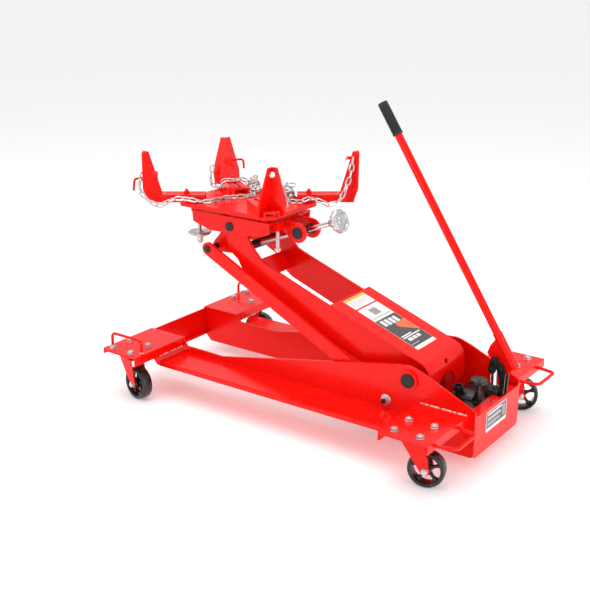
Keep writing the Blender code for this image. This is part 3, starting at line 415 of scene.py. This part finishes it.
def deck_bolts(corner, x, y):
    """Four plated bolts with washers, and the swivel's centre nut below."""
    bm = bmesh.new()
    for i, (sx, sy) in enumerate(((-1, -1), (1, -1), (1, 1), (-1, 1))):
        base = spot(x + sx * 0.038, y + sy * 0.0378, DECK_TOP + 0.0003)
        washer(bm, base, (0, 0, 1), 0.0118, 0.0014)
        hex_head(bm, base + Vector((0, 0, 0.0014)), (0, 0, 1), 0.0185, 0.0072, 0.2 + 0.5 * i)
        turn(bm, base + Vector((0, 0, 0.008)), (0, 0, 1),
             [(0, 0.0054), (0.0022, 0.0054), (0.0030, 0.0044)], 20)
    hex_head(bm, spot(x, y, 0.1300), (0, 0, -1), 0.0200, 0.0080, 0.4)
    make("deck_bolts_" + corner, bm, "zinc", "frame")
    bm = bmesh.new()
    ring = [spot(x + 0.0275 * math.cos(t), y + 0.0275 * math.sin(t), 0.1385)
            for t in (2 * math.pi * i / 40 for i in range(40))]
    tube(bm, ring, 0.0028, 8, loop=True)
    make("swivel_seal_" + corner, bm, "black_paint", "frame")


for corner, cx, cy, yaw in CASTERS:
    caster_wheel(corner, cx, cy, yaw)
    deck_bolts(corner, cx, cy)


# ---- pins, bolts and shaft ends --------------------------------------------------------
def pin_end(bm, centre, side, radius, stand):
    """Chamfered pin end with a turned groove ring and a centre mark."""
    turn(bm, centre, (0, side, 0),
         [(0, radius), (stand * 0.35, radius), (stand * 0.40, radius * 0.90),
          (stand * 0.55, radius * 0.90), (stand * 0.60, radius), (stand * 0.9, radius * 0.985),
          (stand, radius * 0.90), (stand * 0.99, radius * 0.30), (stand * 0.90, radius * 0.12)], 40)


for side, s in (("near", -1), ("far", 1)):
    bm = bmesh.new()
    pin_end(bm, side_spot(SHAFT, s * 0.1456), s, 0.0199, 0.0047)
    make("shaft_cap_" + side, bm, "black_oxide", "frame")
    bm = bmesh.new()
    washer(bm, side_spot(LINK_LOW, s * 0.1418), (0, s, 0), 0.0165, 0.0018)
    hex_head(bm, side_spot(LINK_LOW, s * 0.1434), (0, s, 0), 0.0220, 0.0105, 0.2)
    make("link_nut_" + side, bm, "zinc", "frame")
    bm = bmesh.new()
    turn(bm, side_spot(LINK_LOW, s * 0.1535), (0, s, 0),
         [(0, 0.0086), (0.0032, 0.0086), (0.0044, 0.0074)], 24)
    make("link_bolt_end_" + side, bm, "black_oxide", "frame")
    bm = bmesh.new()
    pin_end(bm, side_spot(LINK_TOP, s * 0.1300), s, 0.0111, 0.0028)
    make("link_pin_cap_" + side, bm, "black_oxide", "head_bracket")
    bm = bmesh.new()
    pin_end(bm, side_spot(HEAD_PIN, s * 0.1052), s, 0.0140, 0.0036)
    make("head_pin_cap_" + side, bm, "black_oxide", "lift_arm")
    bm = bmesh.new()
    pin_end(bm, side_spot(EAR, s * 0.0402), s, 0.0172, 0.0040)
    make("ear_barrel_cap_" + side, bm, "black_oxide", "ear_barrel")


# ---- screws and knobs ------------------------------------------------------------------
SCREW_DIR = (side_spot(EAR, 0) - side_spot(TRUNNION, 0)).normalized()
bm = bmesh.new()
screw_thread(bm, side_spot(TRUNNION, 0) - SCREW_DIR * 0.030, SCREW_DIR, 0.2000, 0.0080,
             0.0030, 0.0010, 24, 6)
turn(bm, side_spot(TRUNNION, 0) + SCREW_DIR * 0.169, SCREW_DIR,
     [(0, 0.0072), (0.0010, 0.0080), (0.1200, 0.0080), (0.1210, 0.0060), (0.1650, 0.0060),
      (0.1660, 0.0050)], 32)
make("tilt_screw_threaded", bm, "chrome", "tilt_screw", stands_for=["tilt_screw"])


def hand_knob(name, start, axis, radius, thick, lobes, body, node, boss):
    """Cast hand knob: scalloped rim, dished face with a raised ring, tapered boss behind."""
    bm = bmesh.new()

    def scallop(angle, _distance, r):
        depth = 0.075 * max(0.0, (r / radius - 0.62) / 0.38)
        return r * (1 + 0.045 - depth * (0.5 - 0.5 * math.cos(lobes * angle)) ** 1.6)
    turn(bm, start, axis,
         [(0.0012, 0.0100), (0.0008, radius * 0.55), (0.0, radius * 0.80), (0.0010, radius * 0.92),
          (thick * 0.22, radius * 0.985), (thick * 0.45, radius), (thick * 0.72, radius * 0.99),
          (thick * 0.92, radius * 0.93), (thick, radius * 0.86), (thick * 0.98, radius * 0.74),
          (thick * 0.80, radius * 0.68), (thick * 0.76, radius * 0.40), (thick * 0.80, radius * 0.36),
          (thick * 0.98, radius * 0.32), (thick, radius * 0.24), (thick * 0.9, radius * 0.19)],
         lobes * 12, scallop)
    w = Vector(axis).normalized()
    turn(bm, Vector(start) - w * boss, w,
         [(0, 0.0098), (0.0012, 0.0112), (boss * 0.5, 0.0118), (boss * 0.93, 0.0135),
          (boss + 0.002, 0.0165)], 32)
    make(name, bm, "cast_zinc", body, 50, [node])


KNOB_START = side_spot(TRUNNION, 0) + SCREW_DIR * 0.3080
hand_knob("tilt_knob_casting", KNOB_START, SCREW_DIR, 0.0350, 0.0210, 10, "tilt_knob",
          "tilt_knob", 0.0240)
SIDE_KNOB_BASE = spot(*SIDE_SCREW, 0.4770)
hand_knob("side_knob_casting", SIDE_KNOB_BASE, (0, 0, 1), 0.0365, 0.0110, 8, "side_knob",
          "side_tilt_knob", 0.0240)

bm = bmesh.new()
screw_thread(bm, spot(*SIDE_SCREW, 0.4480), (0, 0, 1), 0.1413, 0.0058, 0.0018, 0.0006, 20, 5)
make("side_screw_threaded", bm, "zinc", "side_screw", stands_for=["side_tilt_screw"])

bm = bmesh.new()
screw_thread(bm, spot(*STUD, 0.4768), (0, 0, 1), 0.0660, 0.0062, 0.0020, 0.0006, 20, 5)
hex_head(bm, spot(*STUD, 0.4796), (0, 0, 1), 0.0168, 0.0098, 0.2)
turn(bm, spot(*STUD, 0.4768), (0, 0, -1), [(0, 0.0062), (0.0010, 0.0056)], 20)
make("stop_stud_threaded", bm, "zinc", "tilt_channel")


# ---- handle ----------------------------------------------------------------------------
TUBE_FOOT, TUBE_TOP = spot(0.6185, PUMP_Y, 0.2367), spot(0.1738, PUMP_Y, 0.9232)
TUBE_DIR = (TUBE_TOP - TUBE_FOOT).normalized()
TUBE_LENGTH = (TUBE_TOP - TUBE_FOOT).length
bm = bmesh.new()
turn(bm, TUBE_FOOT + TUBE_DIR * 0.011, TUBE_DIR,
     [(0, 0.0105), (0.0008, 0.0112), (TUBE_LENGTH - 0.018, 0.0112), (TUBE_LENGTH - 0.017, 0.0105)],
     48)
make("handle_tube_turned", bm, "red_paint", "pump_handle", stands_for=["handle_tube"])

GRIP_LENGTH, GRIP_RIBS = 0.1000, 26
bm = bmesh.new()
profile = [(0, 0.0112), (0.0004, 0.0140), (0.0016, 0.0150), (0.0052, 0.0150), (0.0064, 0.0138)]
rib = (GRIP_LENGTH - 0.018) / GRIP_RIBS
for i in range(GRIP_RIBS):
    d = 0.0075 + rib * i
    profile += [(d, 0.0136), (d + rib * 0.25, 0.0146), (d + rib * 0.55, 0.0146), (d + rib * 0.8, 0.0136)]
profile += [(GRIP_LENGTH - 0.008, 0.0140), (GRIP_LENGTH - 0.003, 0.0141),
            (GRIP_LENGTH - 0.0008, 0.0128), (GRIP_LENGTH, 0.0090)]
turn(bm, TUBE_TOP - TUBE_DIR * (GRIP_LENGTH - 0.002), TUBE_DIR, profile, 36)
make("handle_grip_ribbed", bm, "grip_rubber", "pump_handle", 30, ["handle_grip"])

# ---- hydraulic power unit --------------------------------------------------------------
bm = bmesh.new()


def lobed(angle, _distance, r):
    return r * (1 + 0.13 * abs(math.cos(4 * angle)) ** 3) if r > 0.019 else r


turn(bm, spot(*RELEASE, 0.2052), (0, 0, 1),
     [(0, 0.0075), (0.0004, 0.0150), (0.0012, 0.0205), (0.0030, 0.0225), (0.0060, 0.0230),
      (0.0092, 0.0226), (0.0116, 0.0212), (0.0126, 0.0205), (0.0120, 0.0180), (0.0108, 0.0090),
      (0.0112, 0.0060), (0.0126, 0.0050), (0.0128, 0.0020)], 120, lobed)
turn(bm, spot(*RELEASE, 0.1448), (0, 0, 1),
     [(0, 0.0100), (0.0030, 0.0100), (0.0034, 0.0096), (0.0300, 0.0096), (0.0360, 0.0094),
      (0.0400, 0.0082), (0.0420, 0.0062), (0.0620, 0.0058)], 36)
hex_head(bm, spot(*RELEASE, 0.1453), (0, 0, 1), 0.0225, 0.0070, 0.3)
make("release_valve_turned", bm, "black_paint", "release_valve", 32, ["release_knob"])

bm = bmesh.new()
turn(bm, spot(*FILLER, 0.1500), (0, 0, 1), [(0, 0.0102), (0.0160, 0.0102), (0.0165, 0.0132)], 32)
corner_r = 0.0275 / 2 / math.cos(math.pi / 6)
turn(bm, spot(*FILLER, 0.1660), (0, 0, 1),
     [(0, corner_r * 0.97), (0.0010, corner_r), (0.0140, corner_r), (0.0154, corner_r * 0.93),
      (0.0160, corner_r * 0.84), (0.0156, 0.0106), (0.0090, 0.0104), (0.0084, 0.0020)], 36,
     hexagon(0.0275))
make("filler_plug_turned", bm, "black_oxide", "frame", 30, ["filler_plug"])

bm = bmesh.new()
top = 0.1700
turn(bm, spot(PLUNGER[0], PUMP_Y, top - 0.0006), (0, 0, 1),
     [(0, 0.0185), (0.0022, 0.0185), (0.0030, 0.0176), (0.0034, 0.0135), (0.0058, 0.0130),
      (0.0064, 0.0106)], 48)
for k in range(4):
    t = math.pi / 4 + math.pi / 2 * k
    hex_head(bm, spot(PLUNGER[0] + 0.0205 * math.cos(t), PUMP_Y + 0.0205 * math.sin(t), top - 0.001),
             (0, 0, 1), 0.0056, 0.0034, k)
for z in (0.1530, 0.1580, 0.1630):
    ring = [spot(PLUNGER[0] + 0.0243 * math.cos(t), PUMP_Y + 0.0243 * math.sin(t), z)
            for t in (2 * math.pi * i / 48 for i in range(48))]
    tube(bm, ring, 0.0008, 6, loop=True)
make("pump_barrel_gland", bm, "black_paint", "frame")

bm = bmesh.new()
for s in (-1, 1):
    base = side_spot(PLUNGER, PUMP_Y + s * 0.0190)
    washer(bm, base, (0, s, 0), 0.0098, 0.0016)
    turn(bm, base + Vector((0, s * 0.0014, 0)), (0, s, 0),
         [(0, 0.0062), (0.0022, 0.0062), (0.0030, 0.0052)], 28)
make("plunger_pin_washers", bm, "black_oxide", "pump_plunger")
bm = bmesh.new()
for s in (-1, 1):
    base = side_spot(LINK_PIN, PUMP_Y + s * 0.0190)
    washer(bm, base, (0, s, 0), 0.0090, 0.0014)
    turn(bm, base + Vector((0, s * 0.0012, 0)), (0, s, 0),
         [(0, 0.0058), (0.0024, 0.0058), (0.0032, 0.0048)], 28)
make("link_pin_washers", bm, "black_oxide", "pump_link")
bm = bmesh.new()
for s in (-1, 1):
    base = side_spot(HANDLE_PIVOT, PUMP_Y + s * 0.0136)
    washer(bm, base, (0, s, 0), 0.0068, 0.0010)
    turn(bm, base + Vector((0, s * 0.0008, 0)), (0, s, 0),
         [(0, 0.0062), (0.0020, 0.0062), (0.0028, 0.0052)], 28)
make("pivot_pin_washers", bm, "black_oxide", "pump_handle")

# ---- labels ----------------------------------------------------------------------------
LABEL_THICK, LABEL_LAYER = 0.00025, 0.00012


def label(name, origin, u, v, size, body, blocks, base="white"):
    """Thin sticker with rounded corners; blocks are (u0, v0, u1, v1, ink) or (points, ink)."""
    origin, u, v = Vector(origin), Vector(u).normalized(), Vector(v).normalized()
    w = u.cross(v)
    inks = list(INK)
    bm = bmesh.new()

    def slab(points, low, high, ink):
        rings = [[origin + u * p + v * q + w * z for p, q in points] for z in (low, high)]
        skin(bm, rings, ink=inks.index(ink))
    r = 0.0025
    outline = []
    for cu, cv, start in ((size[0] - r, size[1] - r, 0), (r, size[1] - r, 90), (r, r, 180),
                          (size[0] - r, r, 270)):
        for k in range(5):
            t = math.radians(start + 22.5 * k)
            outline.append((cu + r * math.cos(t), cv + r * math.sin(t)))
    slab(outline, 0.00002, LABEL_THICK, base)
    for level, block in enumerate(blocks):
        low = LABEL_THICK + 0.00001 * level
        if len(block) == 2:
            points, ink = block
        else:
            u0, v0, u1, v1, ink = block
            points = [(u0, v0), (u1, v0), (u1, v1), (u0, v1)]
        slab(points, low, low + LABEL_LAYER, ink)
    make(name, bm, [INK[ink] for ink in inks], body)


slope_u = Vector((math.cos(COVER_SLOPE), 0, -math.sin(COVER_SLOPE)))
slope_n = Vector((math.sin(COVER_SLOPE), 0, math.cos(COVER_SLOPE)))


def on_cover(along, across):
    """Point on the cover's sloping top, measured from its front edge."""
    return side_spot(COVER_FRONT, across) + slope_u * along + slope_n * 0.0002


label("cover_label_front", on_cover(0.0088, -0.0535), slope_u, (0, 1, 0), (0.0480, 0.1070),
      "lift_arm", [(0.0, 0.0015, 0.0105, 0.1055, "yellow"), (0.0035, 0.024, 0.0070, 0.032, "dark"),
                   (0.0040, 0.038, 0.0055, 0.078, "grey"), (0.0180, 0.008, 0.0188, 0.098, "grey"),
                   (0.0240, 0.008, 0.0248, 0.088, "grey"), (0.0300, 0.008, 0.0308, 0.094, "grey"),
                   (0.0360, 0.008, 0.0368, 0.072, "grey")])
bars = [(0.0700 + 0.0010 * k, 0.0120 + 0.0205 * k, 0.0960 + 0.0010 * k, 0.0270 + 0.0205 * k, "white")
        for k in range(4)]
label("cover_label_rear", on_cover(0.0625, -0.0535), slope_u, (0, 1, 0), (0.2150, 0.1070),
      "lift_arm",
      [(0.0640, 0.0010, 0.2010, 0.1060, "dark"), (0.0140, 0.0360, 0.0420, 0.0700, "grey"),
       (0.0525, 0.0080, 0.0540, 0.0980, "dark")] + bars
      + [([(0.0960, 0.1055), (0.1000, 0.0560), (0.1090, 0.0500), (0.1200, 0.0560),
           (0.1560, 0.1055)], "orange"),
         (0.1500, 0.0080, 0.1545, 0.0620, "white"), (0.1575, 0.0080, 0.1620, 0.0980, "white"),
         (0.1660, 0.0180, 0.1780, 0.0380, "white"), (0.1660, 0.0420, 0.1780, 0.0600, "white"),
         (0.1660, 0.0640, 0.1780, 0.0800, "white"), (0.1900, 0.0060, 0.1915, 0.0460, "white")])
label("rear_panel_label", spot(0.5982, -0.0700, 0.0840), (0, 1, 0), (0, 0, 1), (0.1260, 0.0590),
      "frame",
      [(0.0030, 0.0100, 0.1230, 0.0560, "dark"), (0.0080, 0.0470, 0.0950, 0.0520, "white"),
       (0.0080, 0.0400, 0.0800, 0.0430, "grey"), (0.0080, 0.0330, 0.0900, 0.0370, "white"),
       (0.0080, 0.0260, 0.0720, 0.0290, "grey"), (0.0080, 0.0190, 0.0860, 0.0220, "white"),
       (0.0080, 0.0130, 0.0640, 0.0150, "grey"), (0.0980, 0.0160, 0.1180, 0.0500, "grey")])


# ---- weld beads ------------------------------------------------------------------------
def weld(bm, points, radius=0.0020, ripple=0.0042):
    """Bead with overlapping ripples along a run of points."""
    run = [p for p, _ in evenly([Vector(p) for p in points], 0.0011)]
    count = len(run)

    def rule(i):
        ends = min(1.0, (i + 1) / 3, (count - i) / 3)
        wave = (i * 0.0011 / ripple) % 1.0
        broken = math.sin(i * 0.41) + 0.8 * math.sin(i * 0.173 + 1.0)
        return (0.80 + 0.30 * math.sqrt(max(0.0, 1 - wave)) + 0.14 * math.sin(i * 1.31)
                ) * ends * (0.25 if broken < -0.55 else 1.0)
    tube(bm, run, radius, 8, rule=rule)


bm = bmesh.new()
for s in (-1, 1):
    weld(bm, [side_spot(COVER_FRONT, s * 0.0965) + slope_u * d - slope_n * 0.0052
              for d in (0.070, 0.285)], 0.0017)
make("arm_cover_welds", bm, "weld", "lift_arm")
bm = bmesh.new()
for s in (-1, 1):
    weld(bm, [spot(x, s * 0.1400, DECK_TOP + 0.0006) for x in (0.4320, 0.5740)], 0.0025)
    weld(bm, [spot(x, s * 0.1400, DECK_TOP - 0.0042) for x in (-0.5600, -0.4300)], 0.0018)
    weld(bm, [spot(-0.4246, y, 0.1285) for y in (s * 0.142, s * 0.250)], 0.0020)
    for x in (-0.561, -0.438):
        ring = [spot(x + 0.0054 * math.cos(t), s * 0.3135 + 0.0054 * math.sin(t), DECK_TOP + 0.0006)
                for t in (2 * math.pi * i / 24 for i in range(24))]
        tube(bm, ring, 0.0018, 6, loop=True)
make("frame_welds", bm, "weld", "frame")

# ---- safety chains ---------------------------------------------------------------------
SLIDE_REST = {"left": 0.037, "front": -0.020, "right": 0.058, "back": -0.020}
DIAG = {}
for tag, ux, uy in (("left", -1, -1), ("front", 1, -1), ("right", 1, 1), ("back", -1, 1)):
    corner_spot = spot(SADDLE_C[0] + ux * SADDLE_A, SADDLE_C[1] + uy * SADDLE_B, 0)
    DIAG[tag] = (corner_spot, (corner_spot - spot(*SADDLE_C, 0)).normalized())
LINK_PITCH, LINK_LONG, LINK_WIDE, WIRE_R = 0.0205, 0.0290, 0.0170, 0.0026
SLIDE_TOP = SADDLE_TOP + 0.0240
LIE, OVER = SADDLE_TOP + 0.0050, SLIDE_TOP + 0.0065


def beside(tag, points):
    """Points from (outward, sideways, height) about the foot of one upright."""
    corner_at, d = DIAG[tag]
    foot = corner_at + d * SLIDE_REST[tag]
    side = Vector((-d.y, d.x, 0))
    return [Vector((0, 0, z)) + foot + d * a + side * c for a, c, z in points]


def chain_link(bm, centre, along, flat):
    """One welded link: two straight sides joined by half circles."""
    across = along.cross(flat).normalized()
    half, bend = (LINK_LONG - LINK_WIDE) / 2, LINK_WIDE / 2 - WIRE_R
    loop = []
    for end in (1, -1):
        for k in range(7):
            t = -math.pi / 2 + math.pi * k / 6
            loop.append(centre + along * end * (half + bend * math.cos(t))
                        + across * end * bend * math.sin(t))
    tube(bm, loop, WIRE_R, 8, loop=True)


def chain(name, points, stands_for=(), tilt=0.7):
    bm = bmesh.new()
    for i, (p, along) in enumerate(evenly(smooth_path(points), LINK_PITCH)):
        u, v, _ = frame_of(along)
        a = tilt + (math.pi / 2 if i % 2 else 0.0) + 0.25 * math.sin(i * 1.7)
        chain_link(bm, p, along, u * math.cos(a) + v * math.sin(a))
    return make(name, bm, "zinc", None, stands_for=stands_for)


def heap(x, y, low, high, radius, turns, first):
    """Coils of slack chain piled up on the saddle."""
    count = int(turns * 6)
    return [spot(x + radius * (1 - 0.45 * i / count) * math.cos(first + i * math.pi / 3),
                 y + radius * (1 - 0.35 * i / count) * math.sin(first + i * math.pi / 3),
                 low + (high - low) * i / count + 0.003 * math.sin(i * 2.3))
            for i in range(count + 1)]


LEFT_CHAIN = beside("left", [
    (0.060, 0.018, 0.674), (0.064, 0.038, 0.650), (0.054, 0.056, 0.628), (0.030, 0.060, 0.606),
    (0.002, 0.056, 0.594), (-0.021, 0.050, 0.604), (-0.045, 0.040, 0.611),
    (-0.080, 0.035, 0.608), (-0.118, 0.036, LIE + 0.001), (-0.150, 0.028, LIE)])
LEFT_CHAIN += [spot(-0.335, -0.030, LIE), spot(-0.305, 0.010, LIE), spot(-0.288, 0.055, LIE)]
LEFT_CHAIN += heap(-0.322, 0.104, LIE, 0.622, 0.022, 1.7, -1.2)
HEAP_TWO = (-0.180, 0.088)
FRONT_CHAIN = beside("front", [
    (0.034, 0.022, 0.712), (0.022, 0.038, 0.680), (0.008, 0.054, 0.640), (-0.012, 0.060, 0.612),
    (-0.045, 0.058, LIE)]) + [spot(-0.140, 0.010, LIE), spot(-0.150, 0.050, LIE)]
FRONT_CHAIN += heap(*HEAP_TWO, LIE, 0.626, 0.024, 1.8, -0.8)
RIGHT_CHAIN = heap(*HEAP_TWO, 0.636, 0.612, 0.020, 1.2, 1.5)
RIGHT_CHAIN += [spot(-0.152, 0.062, LIE)] + beside("right", [
    (-0.120, -0.036, LIE), (-0.092, -0.036, 0.610), (-0.058, -0.043, 0.603),
    (-0.035, -0.045, 0.594), (-0.006, -0.045, 0.603), (0.010, -0.042, 0.627),
    (0.022, -0.036, 0.656), (0.031, -0.030, 0.682), (0.037, -0.020, 0.722)])
BACK_CHAIN = beside("back", [
    (0.030, 0.052, 0.652), (0.026, 0.058, 0.624), (0.004, 0.058, 0.606),
    (-0.030, 0.042, LIE + 0.003), (-0.042, 0.032, OVER), (-0.042, 0.000, OVER),
    (-0.042, -0.032, OVER), (-0.048, -0.046, 0.612)])
BACK_CHAIN += heap(-0.322, 0.104, 0.618, 0.640, 0.018, 1.5, 2.4)
for tag, points, replaced in (("left", LEFT_CHAIN, ["chain_left"]),
                              ("front", FRONT_CHAIN, ["chain_right"]),
                              ("right", RIGHT_CHAIN, []), ("back", BACK_CHAIN, ["chain_back"])):
    piece = chain("chain_links_" + tag, points, replaced)
    corner_at, d = DIAG[tag]
    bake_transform(piece)

# the two uprights without a hook hold their chain with a plated bolt near the top
for tag in ("front", "right"):
    corner_at, d = DIAG[tag]
    inner_end, outer_end = beside(tag, [(0.021, 0.0, SLIDE_TOP + 0.108),
                                        (0.050, 0.0, SLIDE_TOP + 0.108)])
    bm = bmesh.new()
    hex_head(bm, inner_end, -d, 0.0125, 0.0055, 0.3)
    washer(bm, outer_end, d, 0.0085, 0.0014)
    hex_head(bm, outer_end + d * 0.0012, d, 0.0125, 0.0065, 0.1)
    make("chain_bolt_" + tag, bm, "zinc", "corner_" + tag)

# ---- floor, light and camera -----------------------------------------------------------
bm = bmesh.new()
bmesh.ops.create_grid(bm, x_segments=4, y_segments=4, size=60.0)
mesh = bpy.data.meshes.new("studio_floor")
bm.to_mesh(mesh)
bm.free()
floor = bpy.data.objects.new("studio_floor", mesh)
bpy.context.scene.collection.objects.link(floor)
floor.location.z = -0.0005
white_floor = surface("studio_floor", (0.93, 0.93, 0.93), 0.7, spread=0.01, bump=0.0, shine=0.1)
white_floor.node_tree.nodes["Principled BSDF"].inputs["Emission Color"].default_value = (1, 1, 1, 1)
white_floor.node_tree.nodes["Principled BSDF"].inputs["Emission Strength"].default_value = 0.22
mesh.materials.append(white_floor)

world = bpy.data.worlds.new("studio")
bpy.context.scene.world = world
world.use_nodes = True
world.node_tree.nodes["Background"].inputs["Color"].default_value = (1.0, 1.0, 1.0, 1.0)
world.node_tree.nodes["Background"].inputs["Strength"].default_value = 0.72


def soft_light(name, place, target, size, power):
    data = bpy.data.lights.new(name, "AREA")
    data.shape = "RECTANGLE"
    data.size, data.size_y = size
    data.energy = power
    lamp = bpy.data.objects.new(name, data)
    bpy.context.scene.collection.objects.link(lamp)
    lamp.location = place
    lamp.rotation_euler = (Vector(target) - Vector(place)).to_track_quat("-Z", "Y").to_euler()


MIDDLE = (0.0, 0.0, 0.35)
soft_light("overhead", (-0.6, -0.3, 3.6), MIDDLE, (3.0, 3.0), 62)
soft_light("right_fill", (3.4, -0.6, 1.1), MIDDLE, (2.2, 2.6), 34)
soft_light("left_key", (-1.6, -3.4, 1.9), MIDDLE, (1.6, 1.6), 16)

CAMERA_PLACE = (1.70092 - ORIGIN_SHIFT, -2.49053, 1.35589)
CAMERA_AZIMUTH, CAMERA_ELEVATION = 35.6835, 18.5732
lens = bpy.data.cameras.new("camera")
lens.lens, lens.sensor_width = 64.83, 36.0
camera = bpy.data.objects.new("camera", lens)
bpy.context.scene.collection.objects.link(camera)
camera.location = CAMERA_PLACE
camera.rotation_euler = (math.radians(90 - CAMERA_ELEVATION), 0, math.radians(CAMERA_AZIMUTH))
bpy.context.scene.camera = camera
bpy.context.scene.view_settings.view_transform = "Standard"
